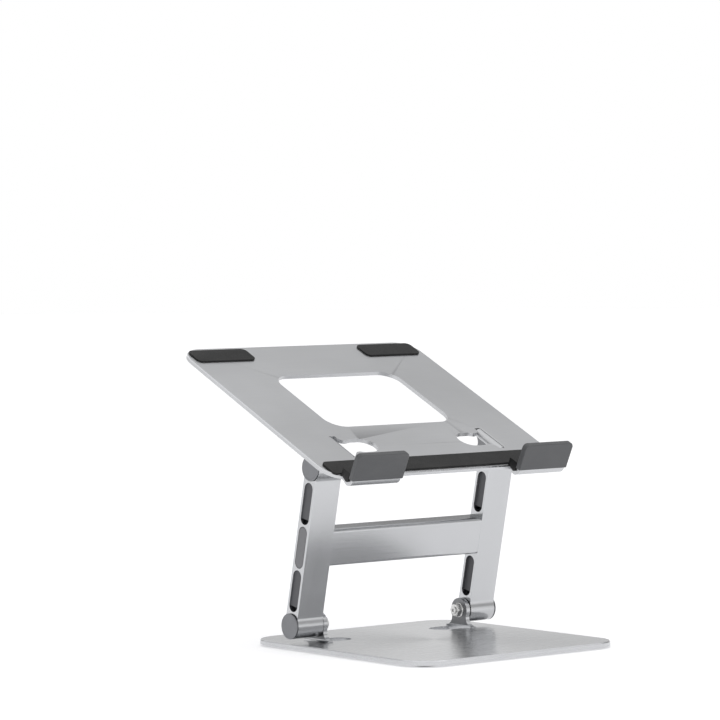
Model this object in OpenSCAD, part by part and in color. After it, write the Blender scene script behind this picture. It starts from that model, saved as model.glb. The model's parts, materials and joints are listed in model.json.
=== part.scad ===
// Folding laptop stand: a flat base plate, an H-shaped arm on two friction hinges, and a
// tilting tray with two padded hooks that hold the laptop's front edge.
// Millimetres. The origin is the middle of the base's footprint, on the desk.
// +X is the user's right, -Y faces the user, +Z is up.

/* [Base plate] */
// Width of the base plate, side to side
base_w = 215; // [190:1:260]
// Depth of the base plate, front to back
base_d = 223.5; // [190:0.5:270]
// Thickness of the base plate and of its two bent-up lugs
base_t = 4; // [3:0.5:5]
// Radius of the base plate's corners
base_corner_r = 27; // [15:1:45]
// Chamfer round the plates' top edges
edge_chamfer = 0.8; // [0.4:0.1:1.2]
// Thickness of the rubber feet
foot_t = 1.5; // [1:0.25:3]
// Radius of the four round corner feet
foot_r = 9; // [6:0.5:12]
// Distance from the base's sides to the middle of a corner foot
foot_inset = 20; // [18:1:26]
// Length of the middle foot, side to side
centre_foot_w = 60; // [30:1:80]

/* [Arm] */
// Width over the outer faces of the two legs
arm_w = 210.6; // [190:0.2:230]
// Width of one leg, side to side
leg_w = 26; // [24:0.5:32]
// Depth of a leg, front to back
leg_t = 15.2; // [13:0.2:17]
// Distance between the lower and the upper hinge axis
hinge_span = 133; // [118:1:160]
// How far the arm leans forward from upright, in degrees
lean = 12.6; // [0:0.2:30]
// Height of the crossbar along the leg
bar_h = 31.4; // [24:0.2:34]
// Radius of the crossbar's long edges
bar_edge_r = 3; // [1:0.25:5]
// Metal between an end slot and the counterbore of the barrel next to it
slot_end_web = 4; // [2:0.25:8]
// Width of the side slots
slot_w = 10.6; // [8:0.2:12]
// Metal between two neighbouring slots
slot_web = 1.9; // [1:0.1:4]
// How far the slot inserts lie below the leg's outer face
insert_recess_out = 1.5; // [0.5:0.25:3]
// How far the slot inserts lie below the leg's inner face
insert_recess_in = 2.5; // [0.5:0.25:4]
// Thickness of the wall that the crossbar screws clamp
screw_web = 8; // [5:0.5:10]
// Distance between the two crossbar screws of a leg
screw_pitch = 18; // [14:0.5:18]

/* [Hinges] */
// Radius of the hinge barrels at the ends of a leg
barrel_r = 10.5; // [9.5:0.25:12]
// Radius of the hollow blend from a barrel into the leg
barrel_blend_r = 8; // [4:0.5:12]
// Height of the lower axis above the base plate's top face
base_axis_h = 14.2; // [13:0.1:18]
// Distance from the base's rear edge forward to the lower axis
axis_from_rear = 56; // [45:0.5:80]
// Distance from the tray's underside down to the upper axis
tray_axis_drop = 15.2; // [13.5:0.1:18]
// Radius of the hinge shafts
shaft_r = 4; // [3.5:0.1:4.5]
// Radius of the threaded ends of a shaft
thread_r = 3; // [2:0.25:3.25]
// Wall of the bush between shaft and barrel
bush_wall = 1; // [0.75:0.25:1.5]
// Radial running clearance between shaft and bush
run_gap = 0.04; // [0.02:0.01:0.08]
// Wall of the barrel round the counterbore that holds the friction pack
barrel_wall = 2.1; // [1.5:0.1:3]
// Thickness of the lock nut at the outer end of a shaft
locknut_t = 3.8; // [3:0.1:6]
// Gap between a lug and the leg, filled by the thrust washer
washer_gap = 0.8; // [0.6:0.1:1.5]
// Play left beside a washer or disc that something turns against
face_play = 0.05; // [0.02:0.01:0.1]
// How far an end cap stands out of the leg
cap_t = 1.6; // [1:0.1:3]
// Length of an end cap's spigot
cap_spigot = 3; // [2:0.25:3]

/* [Lugs] */
// Radius of a lug's round head
lug_head_r = 10; // [9:0.25:11]
// Radius of a lug's hollow shoulders
lug_shoulder_r = 7; // [4:0.5:10]
// Width of a lug where it leaves the plate
lug_foot_w = 33; // [30:0.5:44]
// Inside radius of the fold
bend_r = 2; // [1.5:0.25:2.5]
// Gap that the punch leaves round a lug's outline
punch_gap = 1; // [0.5:0.1:1.5]
// How far the punched hole runs on past the lug's head
punch_run = 6.5; // [0:0.5:10]

/* [Tray] */
// Width of the tray, side to side
tray_w = 250; // [236:1:300]
// Depth of the tray plate, front to back
tray_d = 225; // [200:1:260]
// Thickness of the tray plate, its lugs and its hooks
tray_t = 3.2; // [2.6:0.2:4]
// Radius of the tray's corners
tray_corner_r = 20; // [8:1:35]
// Tilt of the tray from level, in degrees
tray_tilt = 25.4; // [0:0.2:40]
// Distance from the upper axis forward to the laptop's front edge
laptop_reach = 45.4; // [40:0.2:60]
// Width of the tray's side rails, beside its window
side_rail_w = 60; // [45:1:80]
// Depth of the tray's rear rail, behind its window
rear_rail_d = 53.6; // [35:0.2:70]
// Radius of the window's corners
window_r = 16; // [6:1:24]
// Distance from the upper axis back to the window
window_back = 32; // [28:1:45]
// Thickness of the silicone pads on the tray
pad_t = 1.4; // [1:0.1:2.5]
// Depth of the front and rear silicone pads
pad_d = 20; // [15:1:22]
// Width of a rear silicone pad
rear_pad_w = 60; // [30:1:100]
// Distance from the tray's edges to the silicone pads
pad_inset = 5; // [3:0.5:12]

/* [Hooks] */
// Width of a hook's metal tongue
hook_w = 49; // [38:0.5:54]
// Distance from the tray's side edge to the middle of a hook
hook_inset = 37; // [32:0.5:50]
// Inside radius of the hook's upward bend
hook_bend_r = 3.3; // [2.5:0.1:4.5]
// How far a hook's tongue drops below the tray before it bends up
hook_dip = 1.8; // [0:0.1:3]
// Depth of the rubber pad between the laptop and the hook's sleeve
channel_d = 9.4; // [7:0.2:14]
// Height of the rubber sleeve over a hook
sleeve_h = 23.2; // [18:0.1:28]
// Thickness of the sleeve's rubber wall in front of and behind the metal
sleeve_wall = 1; // [0.8:0.1:2]
// Rubber that the sleeve adds at each side of the metal and over its tip
sleeve_side = 1.6; // [1:0.1:3]
// Radius of the sleeve's two upper corners
sleeve_corner_r = 4; // [2:0.25:6]
// Height of the rubber pad in front of the laptop's edge
channel_pad_h = 6.8; // [5:0.2:12]

/* [Hidden] */
$fn = 72;
eps = 0.01;

// Feet, plate and the lower hinge axis
base_z = foot_t;
base_top = base_z + base_t;
lower_y = base_d / 2 - axis_from_rear;
lower_z = base_top + base_axis_h;

// Upper hinge axis, at the other end of the leaning arm
upper_y = lower_y - hinge_span * sin(lean);
upper_z = lower_z + hinge_span * cos(lean);

// Places along X, on the right-hand side
leg_out = arm_w / 2;
leg_in = leg_out - leg_w;
lug_out = leg_in - washer_gap;
bend_x = lug_out + bend_r;
spigot_in = leg_out - cap_spigot;

// Flat length of a folded lug, from the start of the bend to its hinge hole
neutral_k = 0.42;
function lug_flat_l(drop, t) = (bend_r + neutral_k * t) * PI / 2 + drop - bend_r;
lug_foot_h = 1.2;
lug_root = 2;

// Shaft and its washers, discs, springs and nuts
bush_r = shaft_r + bush_wall;
bush_bore_r = shaft_r + run_gap;
shaft_flat_depth = 0.6;
shaft_flat_z = shaft_r - shaft_flat_depth;
washer_r = lug_head_r - 1;
washer_t = washer_gap - 2 * face_play;
pocket_r = barrel_r - barrel_wall;
disc_play = 0.4;
disc_r = pocket_r - disc_play;
disc_t = 1.5;
spring_count = 4;
spring_t = 0.6;
spring_rise = 0.42;
spring_gap = 0.03;
spring_pitch = spring_t + spring_rise + spring_gap;
spring_bore_play = 0.1;
spring_inset = 0.3;
spring_r = disc_r - spring_inset;
keyed_t = 1.2;
locknut_r = disc_r - 1.5;
cap_gap = 0.2;

// The friction pack is stacked inward from the end cap, and the counterbore ends under it
locknut_x = spigot_in - cap_gap - locknut_t;
keyed_x = locknut_x - keyed_t;
springs_x = keyed_x - spring_count * spring_pitch;
pocket_in = springs_x - spring_gap - disc_t - face_play;
nut_flange_r = 6.2;
nut_flange_t = 1;
nut_r = 5.8;
nut_t = 4.2;
stud_out = 1.3;
socket_r = 1.6;
socket_d = 1;

// Leg slots, counted from the leg's middle
mid_s = hinge_span / 2;
slot_l = (hinge_span - 2 * (pocket_r + slot_end_web + slot_web)) / 3;
slot_pitch = slot_l + slot_web;
insert_notch_l = 4;
insert_notch_d = 6;
plug_t = 3.5;
plug_rim_t = 1.2;
plug_rim_d = 5;
screw_r = 2.5;
screw_head_r = 4.2;
screw_head_h = 5;
screw_grip = 14;
screw_socket_r = 2.3;
screw_socket_d = 2.6;
bar_wall = 2.4;
bar_port_wall = 1.8;

// Tray, in its own frame: origin on the upper axis, +Y up the slope, +Z out of the top face
tray_under = tray_axis_drop;
tray_top = tray_under + tray_t;
tray_front = -laptop_reach - 2;
tray_rear = tray_front + tray_d;
window_w = tray_w - 2 * side_rail_w;
window_d = tray_rear - rear_rail_d - window_back;
hook_x = tray_w / 2 - hook_inset;

// Hook section: a tongue that dips from the tray's edge, a quarter turn and an upright blade
sleeve_back = -laptop_reach - channel_d;
blade_y = sleeve_back - sleeve_wall - tray_t / 2;
turn_r = hook_bend_r + tray_t / 2;
turn_y = blade_y + turn_r;
tongue_root = 10;
sleeve_w = hook_w + 2 * sleeve_side;
sleeve_gap = 0.3;
bend_z = tray_under + tray_t / 2 - hook_dip + turn_r;
sleeve_low_z = bend_z + sleeve_gap;
sleeve_top_z = sleeve_low_z + sleeve_h;
blade_top_z = sleeve_top_z - sleeve_side;

metal = "#c3c4c7";
dark_metal = "#8d8e90";
steel = "#d9d9d6";
rubber = "#1c1c1d";
sleeve_grey = "#666768";
insert_grey = "#4c4c50";
plug_grey = "#717174";

// ---- frames ----

// Mirrors a right-hand piece to the left when side is -1
module on_side(side) {
    if (side < 0) mirror([1, 0, 0]) children();
    else children();
}

// Origin on the lower axis
module at_lower() translate([0, lower_y, lower_z]) children();

// Origin on the lower axis, +Z along the leaning arm
module in_arm() at_lower() rotate([lean, 0, 0]) children();

// Moves a piece in the arm's frame from the lower to the upper axis
module at_top() translate([0, 0, hinge_span]) children();

// Origin on the upper axis, turned with the tray
module in_tray() translate([0, upper_y, upper_z]) rotate([tray_tilt, 0, 0]) children();

// Draws a 2D section (Y, Z) and runs it along X from x0 to x1
module along_x(x0, x1)
    translate([x0, 0, 0]) rotate([90, 0, 90]) linear_extrude(x1 - x0) children();

// A cylinder along X from x0 to x1
module rod(r, x0, x1) along_x(x0, x1) circle(r);

// ---- shared shapes ----

module rounded_rect(w, d, r) {
    square([w - 2 * r, d], center = true);
    square([w, d - 2 * r], center = true);
    for (x = [-1, 1], y = [-1, 1])
        translate([x * (w / 2 - r), y * (d / 2 - r)]) circle(r);
}

// A racetrack of length l along Y and width w
module racetrack(l, w) {
    square([w, l - w], center = true);
    for (y = [-1, 1]) translate([0, y * (l - w) / 2]) circle(w / 2);
}

// A plate of thickness t with rounded corners and a chamfered top edge
module chamfered_plate(w, d, t, r, c) {
    linear_extrude(t - c) rounded_rect(w, d, r);
    translate([0, 0, t - c]) {
        along_x(-w / 2 + r, w / 2 - r) chamfer_section(d, c);
        rotate([0, 0, 90]) along_x(-d / 2 + r, d / 2 - r) chamfer_section(w, c);
        for (x = [-1, 1], y = [-1, 1])
            translate([x * (w / 2 - r), y * (d / 2 - r), 0]) cylinder(h = c, r1 = r, r2 = r - c);
    }
}

module chamfer_section(d, c)
    polygon([[-d / 2, 0], [d / 2, 0], [d / 2 - c, c], [-d / 2 + c, c]]);

// ---- lugs ----

// Outline (Y, Z) of a lug about its hinge hole; the plate's face is at Z = -drop
module lug_outline(drop, t, grow) {
    head = lug_head_r + grow;
    hollow = lug_shoulder_r - grow;
    foot_z = -drop + lug_foot_h + grow;
    hollow_z = foot_z + hollow;
    hollow_y = sqrt(pow(head + hollow, 2) - pow(hollow_z, 2));
    touch_z = hollow_z * head / (head + hollow);
    circle(head);
    difference() {
        translate([-hollow_y, foot_z - eps]) square([2 * hollow_y, touch_z - foot_z + eps]);
        for (y = [-1, 1]) translate([y * hollow_y, hollow_z]) circle(hollow);
    }
    translate([-lug_foot_w / 2 - grow, -drop - t])
        square([lug_foot_w + 2 * grow, foot_z + drop + t]);
}

// A lug folded out of a plate, with a hole that has a flat for the shaft
module lug(drop, t) {
    fold_z = -drop + bend_r;
    difference() {
        intersection() {
            union() {
                translate([lug_out - t, -lug_foot_w / 2, fold_z])
                    cube([t, lug_foot_w, lug_head_r - fold_z + 1]);
                translate([bend_x, lug_foot_w / 2, fold_z]) rotate([90, 0, 0]) rotate([0, 0, 180])
                    rotate_extrude(angle = 90) translate([bend_r, 0]) square([t, lug_foot_w]);
                translate([bend_x, -lug_foot_w / 2, -drop - t]) cube([lug_root, lug_foot_w, t]);
            }
            along_x(lug_out - t - 1, bend_x + lug_root) lug_outline(drop, t, 0);
        }
        along_x(lug_out - t - 1, lug_out + 1) shaft_section();
    }
}

// Hole that a lug leaves in its plate, drawn in the plate's plane (X, Y)
module lug_punch(drop, t) {
    head_x = bend_x - lug_flat_l(drop, t);
    head = lug_head_r + punch_gap;
    translate([head_x, 0]) rotate(90) lug_outline(drop, t, punch_gap);
    translate([head_x - punch_run, 0]) circle(head);
    translate([head_x - punch_run, -head]) square([punch_run, 2 * head]);
    relief_x = head_x + drop;
    translate([relief_x, -lug_foot_w / 2 - punch_gap])
        square([bend_x - relief_x, lug_foot_w + 2 * punch_gap]);
}

// Round shaft with one flat
module shaft_section() {
    intersection() {
        circle(shaft_r);
        translate([-shaft_r, -shaft_r]) square([2 * shaft_r, shaft_r + shaft_flat_z]);
    }
}

// ---- base ----

module base_plate() color(metal) {
    difference() {
        translate([0, 0, base_z])
            chamfered_plate(base_w, base_d, base_t, base_corner_r, edge_chamfer);
        for (side = [-1, 1]) on_side(side)
            translate([0, lower_y, base_z - 1]) linear_extrude(base_t + 2)
                lug_punch(base_axis_h, base_t);
    }
    for (side = [-1, 1]) on_side(side) at_lower() lug(base_axis_h, base_t);
}

module foot(x_side, y_side) color(rubber)
    translate([x_side * (base_w / 2 - foot_inset), y_side * (base_d / 2 - foot_inset), 0])
        cylinder(h = foot_t, r = foot_r);

module foot_centre() color(rubber)
    linear_extrude(foot_t) rotate(90) racetrack(centre_foot_w, 2 * foot_r);

// ---- hinge pieces, on the right, with the hinge axis on X ----

// The plate thickness t sets where the lug's inner face lies
module hinge_shaft(t) color(steel) {
    nut_end = lug_out - t - nut_flange_t - nut_t - stud_out;
    difference() {
        union() {
            along_x(lug_out - t, lug_out) shaft_section();
            rod(shaft_r, lug_out, locknut_x);
            rod(thread_r, nut_end, lug_out - t);
            rod(thread_r, locknut_x, locknut_x + locknut_t);
        }
        along_x(nut_end - 1, nut_end + socket_d) circle(socket_r, $fn = 6);
    }
}

// The tray's lugs hang down, so the upper shafts carry their flat on the lower side
module upper_shaft() mirror([0, 0, 1]) hinge_shaft(tray_t);

module hinge_nut(t) color(steel)
    difference() {
        union() {
            rod(nut_flange_r, lug_out - t - nut_flange_t, lug_out - t);
            along_x(lug_out - t - nut_flange_t - nut_t, lug_out - t - nut_flange_t)
                circle(nut_r, $fn = 6);
        }
        rod(thread_r, lug_out - t - nut_flange_t - nut_t - 1, lug_out - t + 1);
    }

module ring(r_out, r_in, x0, x1) along_x(x0, x1) difference() {
    circle(r_out);
    circle(r_in);
}

module hinge_washer() color(dark_metal)
    ring(washer_r, bush_bore_r, lug_out + face_play, lug_out + face_play + washer_t);

// Friction disc beside the barrel's web and keyed washer beside the lock nut
module hinge_disc() color(dark_metal) {
    ring(disc_r, shaft_r, pocket_in + face_play, pocket_in + face_play + disc_t);
    ring(disc_r, shaft_r, keyed_x, keyed_x + keyed_t);
}

// Disc springs stacked back to back
module hinge_springs() color(steel)
    for (i = [0 : spring_count - 1])
        translate([springs_x + i * spring_pitch, 0, 0]) rotate([0, 90, 0])
            rotate_extrude() disc_spring_section(i % 2 == 0 ? 0 : spring_rise);

module disc_spring_section(inner_rise)
    polygon([
        [shaft_r + spring_bore_play, inner_rise], [spring_r, spring_rise - inner_rise],
        [spring_r, spring_rise - inner_rise + spring_t], [shaft_r + spring_bore_play, inner_rise + spring_t]
    ]);

module hinge_locknut() color(steel)
    along_x(locknut_x, locknut_x + locknut_t) difference() {
        circle(locknut_r, $fn = 6);
        circle(thread_r);
    }

module hinge_bush() color("#b08d57") ring(bush_r, bush_bore_r, leg_in, pocket_in);

module hinge_cap() color(dark_metal) {
    rod(pocket_r, spigot_in, leg_out);
    rod(barrel_r, leg_out, leg_out + cap_t);
}

// ---- arm, in the arm's frame ----

// Fills one hollow corner between a barrel and a leg face
module barrel_blend() {
    cy = leg_t / 2 + barrel_blend_r;
    cz = sqrt(pow(barrel_r + barrel_blend_r, 2) - pow(cy, 2));
    touch = barrel_r / (barrel_r + barrel_blend_r);
    difference() {
        translate([0, touch * cz]) square([touch * cy, cz * (1 - touch)]);
        translate([cy, cz]) circle(barrel_blend_r);
    }
}

// Side outline (Y, Z) of a leg with its two barrels
module leg_outline() {
    translate([-leg_t / 2, 0]) square([leg_t, hinge_span]);
    for (top = [0, 1]) translate([0, top * hinge_span]) mirror([0, top]) {
        circle(barrel_r);
        barrel_blend();
        mirror([1, 0]) barrel_blend();
    }
}

module at_slot(i) translate([0, 0, mid_s + i * slot_pitch]) children();

module leg() color(metal)
    difference() {
        along_x(leg_in, leg_out) leg_outline();
        for (z = [0, hinge_span]) translate([0, 0, z]) {
            rod(bush_r, leg_in - 1, leg_out + 1);
            rod(pocket_r, pocket_in, leg_out + 1);
        }
        for (i = [-1, 1]) at_slot(i) along_x(leg_in - 1, leg_out + 1) racetrack(slot_l, slot_w);
        at_slot(0) {
            along_x(leg_in + screw_web, leg_out + 1) racetrack(slot_l, slot_w);
            for (z = [-1, 1]) translate([0, 0, z * screw_pitch / 2])
                rod(screw_r, leg_in - 1, leg_out);
        }
    }

module crossbar() color(metal) at_slot(0)
    along_x(-leg_in, leg_in) difference() {
        rounded_rect(leg_t, bar_h, bar_edge_r);
        for (z = [-1, 1]) translate([0, z * screw_pitch / 2]) circle(screw_r);
        square([leg_t - 2 * bar_wall, screw_pitch - 2 * screw_r - 2 * bar_port_wall],
            center = true);
    }

module bar_screws() color(steel) at_slot(0)
    for (z = [-1, 1]) translate([0, 0, z * screw_pitch / 2]) difference() {
        union() {
            rod(screw_r, leg_in - screw_grip, leg_in + screw_web);
            rod(screw_head_r, leg_in + screw_web, leg_in + screw_web + screw_head_h);
        }
        along_x(leg_in + screw_web + screw_head_h - screw_socket_d,
            leg_in + screw_web + screw_head_h + 1) circle(screw_socket_r, $fn = 6);
    }

// Flush cover of the middle slot, with a rim that grips the slot's wall
module slot_plug() color(plug_grey) at_slot(0) {
    along_x(leg_out - plug_t, leg_out) racetrack(slot_l, slot_w);
    along_x(leg_out - plug_t - plug_rim_d, leg_out - plug_t) difference() {
        racetrack(slot_l, slot_w);
        racetrack(slot_l - 2 * plug_rim_t, slot_w - 2 * plug_rim_t);
    }
}

// Recessed filling of an open slot, with a deeper notch at its lower end on both faces
module slot_insert(i) color(insert_grey) at_slot(i)
    difference() {
        along_x(leg_in + insert_recess_in, leg_out - insert_recess_out)
            racetrack(slot_l, slot_w);
        for (x = [leg_in, leg_out - insert_recess_out - insert_notch_d])
            translate([x - eps, -slot_w, -slot_l / 2 - 1])
                cube([insert_recess_in + insert_notch_d + eps, 2 * slot_w, insert_notch_l + 1]);
    }

// ---- tray, in the tray's frame ----

// Part of a ring between two angles, centred on the origin
module arc_band(r, t, a0, a1) {
    far = 2 * (r + t);
    intersection() {
        difference() {
            circle(r + t / 2);
            circle(r - t / 2);
        }
        polygon([[0, 0], [far * cos(a0), far * sin(a0)], [far * cos(a1), far * sin(a1)]]);
    }
}

// Side section (Y, Z) of a hook, from inside the tray's front edge to the blade's tip
module hook_section() {
    t = tray_t;
    translate([tray_front, tray_under]) square([tongue_root, t]);
    polygon([[turn_y, tray_under - hook_dip], [tray_front, tray_under],
        [tray_front, tray_under + t], [turn_y, tray_under + t - hook_dip]]);
    translate([turn_y, bend_z]) arc_band(turn_r, t, 180, 270);
    translate([blade_y - t / 2, bend_z]) square([t, blade_top_z - bend_z]);
}

module tray_plate() color(metal) in_tray() {
    difference() {
        translate([0, tray_front + tray_d / 2, tray_under])
            chamfered_plate(tray_w, tray_d, tray_t, tray_corner_r, edge_chamfer);
        translate([0, window_back + window_d / 2, tray_under - 1]) linear_extrude(tray_t + 2)
            rounded_rect(window_w, window_d, window_r);
        for (side = [-1, 1]) on_side(side)
            translate([0, 0, tray_under - 1]) linear_extrude(tray_t + 2)
                lug_punch(tray_axis_drop, tray_t);
    }
    for (side = [-1, 1]) on_side(side) {
        mirror([0, 0, 1]) lug(tray_axis_drop, tray_t);
        along_x(hook_x - hook_w / 2, hook_x + hook_w / 2) hook_section();
    }
}

// Front view of a sleeve: square below, with rounded upper corners
module sleeve_outline() {
    r = sleeve_corner_r;
    translate([-sleeve_w / 2, 0]) square([sleeve_w, sleeve_h - r]);
    translate([-sleeve_w / 2 + r, 0]) square([sleeve_w - 2 * r, sleeve_h]);
    for (x = [-1, 1]) translate([x * (sleeve_w / 2 - r), sleeve_h - r]) circle(r);
}

// Rubber sleeve pushed down over a hook's blade
module hook_sleeve() color(sleeve_grey) in_tray()
    difference() {
        translate([hook_x, blade_y + tray_t / 2 + sleeve_wall, sleeve_low_z])
            rotate([90, 0, 0]) linear_extrude(tray_t + 2 * sleeve_wall) sleeve_outline();
        along_x(hook_x - hook_w / 2, hook_x + hook_w / 2) hook_section();
    }

// Rubber block on the tongue, between the sleeve and the laptop's front edge
module hook_pad() color(rubber) in_tray()
    along_x(hook_x - sleeve_w / 2, hook_x + sleeve_w / 2) difference() {
        translate([sleeve_back, tray_top - hook_dip])
            square([channel_d, channel_pad_h + hook_dip]);
        hook_section();
    }

module pad_sheet(x, y, w) translate([x, y, tray_top]) linear_extrude(pad_t)
    rounded_rect(w, pad_d, pad_inset);

module front_pad() color(rubber) in_tray()
    pad_sheet(0, -laptop_reach + 1 + pad_d / 2, tray_w - 2 * pad_inset);

module rear_pad() color(rubber) in_tray()
    pad_sheet((tray_w - rear_pad_w) / 2 - pad_inset, tray_rear - pad_inset - pad_d / 2, rear_pad_w);

// ---- the assembly ----

base_plate();
foot(-1, -1);  // foot_front_left
foot(1, -1);  // foot_front_right
foot(-1, 1);  // foot_rear_left
foot(1, 1);  // foot_rear_right
foot_centre();
at_lower() on_side(-1) hinge_shaft(base_t);  // lower_shaft_left
at_lower() hinge_shaft(base_t);  // lower_shaft_right
at_lower() on_side(-1) hinge_nut(base_t);  // lower_nut_left
at_lower() hinge_nut(base_t);  // lower_nut_right
at_lower() on_side(-1) hinge_washer();  // lower_washer_left
at_lower() hinge_washer();  // lower_washer_right
at_lower() on_side(-1) hinge_disc();  // lower_disc_left
at_lower() hinge_disc();  // lower_disc_right
at_lower() on_side(-1) hinge_springs();  // lower_springs_left
at_lower() hinge_springs();  // lower_springs_right
at_lower() on_side(-1) hinge_locknut();  // lower_locknut_left
at_lower() hinge_locknut();  // lower_locknut_right
in_arm() on_side(-1) leg();  // leg_left
in_arm() leg();  // leg_right
in_arm() crossbar();
in_arm() on_side(-1) bar_screws();  // bar_screws_left
in_arm() bar_screws();  // bar_screws_right
in_arm() on_side(-1) slot_plug();  // slot_plug_left
in_arm() slot_plug();  // slot_plug_right
in_arm() on_side(-1) slot_insert(-1);  // lower_insert_left
in_arm() slot_insert(-1);  // lower_insert_right
in_arm() on_side(-1) slot_insert(1);  // upper_insert_left
in_arm() slot_insert(1);  // upper_insert_right
in_arm() on_side(-1) hinge_bush();  // lower_bush_left
in_arm() hinge_bush();  // lower_bush_right
in_arm() at_top() on_side(-1) hinge_bush();  // upper_bush_left
in_arm() at_top() hinge_bush();  // upper_bush_right
in_arm() on_side(-1) hinge_cap();  // lower_cap_left
in_arm() hinge_cap();  // lower_cap_right
in_arm() at_top() on_side(-1) hinge_cap();  // upper_cap_left
in_arm() at_top() hinge_cap();  // upper_cap_right
in_tray() on_side(-1) hinge_washer();  // upper_washer_left
in_tray() hinge_washer();  // upper_washer_right
tray_plate();
on_side(-1) hook_sleeve();  // hook_sleeve_left
hook_sleeve();  // hook_sleeve_right
on_side(-1) hook_pad();  // hook_pad_left
hook_pad();  // hook_pad_right
front_pad();
on_side(-1) rear_pad();  // rear_pad_left
rear_pad();  // rear_pad_right
in_tray() on_side(-1) upper_shaft();  // upper_shaft_left
in_tray() upper_shaft();  // upper_shaft_right
in_tray() on_side(-1) hinge_nut(tray_t);  // upper_nut_left
in_tray() hinge_nut(tray_t);  // upper_nut_right
in_tray() on_side(-1) hinge_disc();  // upper_disc_left
in_tray() hinge_disc();  // upper_disc_right
in_tray() on_side(-1) hinge_springs();  // upper_springs_left
in_tray() hinge_springs();  // upper_springs_right
in_tray() on_side(-1) hinge_locknut();  // upper_locknut_left
in_tray() hinge_locknut();  // upper_locknut_right
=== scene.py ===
"""Folding laptop stand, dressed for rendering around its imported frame.

The stand is a flat base plate, an H-shaped arm on two friction hinges, and a tilting tray with
two padded hooks. Sizes are millimetres in the frame's axes: +X is the user's right, -Y faces the
user and +Z is up. Meshes are made in metres, where the frame says.
"""

import json
import logging
import math
from dataclasses import dataclass
from enum import Enum
from typing import Callable

import bmesh
import bpy
from mathutils import Matrix, Quaternion, Vector


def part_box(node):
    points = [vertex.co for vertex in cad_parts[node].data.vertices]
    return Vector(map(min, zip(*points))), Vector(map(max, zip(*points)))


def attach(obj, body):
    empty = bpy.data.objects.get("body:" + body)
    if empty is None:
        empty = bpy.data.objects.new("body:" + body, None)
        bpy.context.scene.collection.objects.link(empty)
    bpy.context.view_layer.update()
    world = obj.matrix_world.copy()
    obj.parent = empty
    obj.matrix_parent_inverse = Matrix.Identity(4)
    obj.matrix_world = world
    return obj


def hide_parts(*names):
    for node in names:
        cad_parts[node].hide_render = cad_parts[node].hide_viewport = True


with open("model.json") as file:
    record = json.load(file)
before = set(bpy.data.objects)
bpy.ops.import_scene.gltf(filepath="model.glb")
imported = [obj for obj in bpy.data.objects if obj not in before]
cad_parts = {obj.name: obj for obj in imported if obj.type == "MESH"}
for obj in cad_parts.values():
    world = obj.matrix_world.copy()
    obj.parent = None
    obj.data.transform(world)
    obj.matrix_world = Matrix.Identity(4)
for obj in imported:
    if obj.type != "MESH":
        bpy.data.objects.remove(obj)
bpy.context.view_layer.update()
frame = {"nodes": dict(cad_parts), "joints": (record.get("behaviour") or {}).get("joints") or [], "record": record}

MM = 0.001
LOG = logging.getLogger("laptop_stand")
ARC_STEP = 6.0  # degrees between two points of an arc
NEAR = 0.01  # millimetres within which two places are the same
CORNER_STEPS = 18  # facets across a plate's corner
SLOT_STEPS = 14  # facets across a slot's or the window's corner
BEND_STEPS = 10  # facets across a fold in a sheet
SHARP = 35.0  # degrees past which an edge is broken
SMOOTH = 40.0  # degrees up to which two faces shade as one
FLAT_WEIGHT = 100  # how far a flat outweighs the small faces beside it in the shading

Object = bpy.types.Object
Material = bpy.types.Material
Tree = bpy.types.NodeTree
Node = bpy.types.Node


class Side(Enum):
    """The stand's two mirrored halves, with the sign of X on each."""

    LEFT = -1
    RIGHT = 1

    @property
    def word(self) -> str:
        """The side's name as nodes and pieces end in it."""
        return self.name.lower()


class Grain(Enum):
    """The way a brushed surface's lines run, as the axis of the piece's own frame."""

    ACROSS = 0
    UP = 2


# ---- edit-mode tools ----


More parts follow.
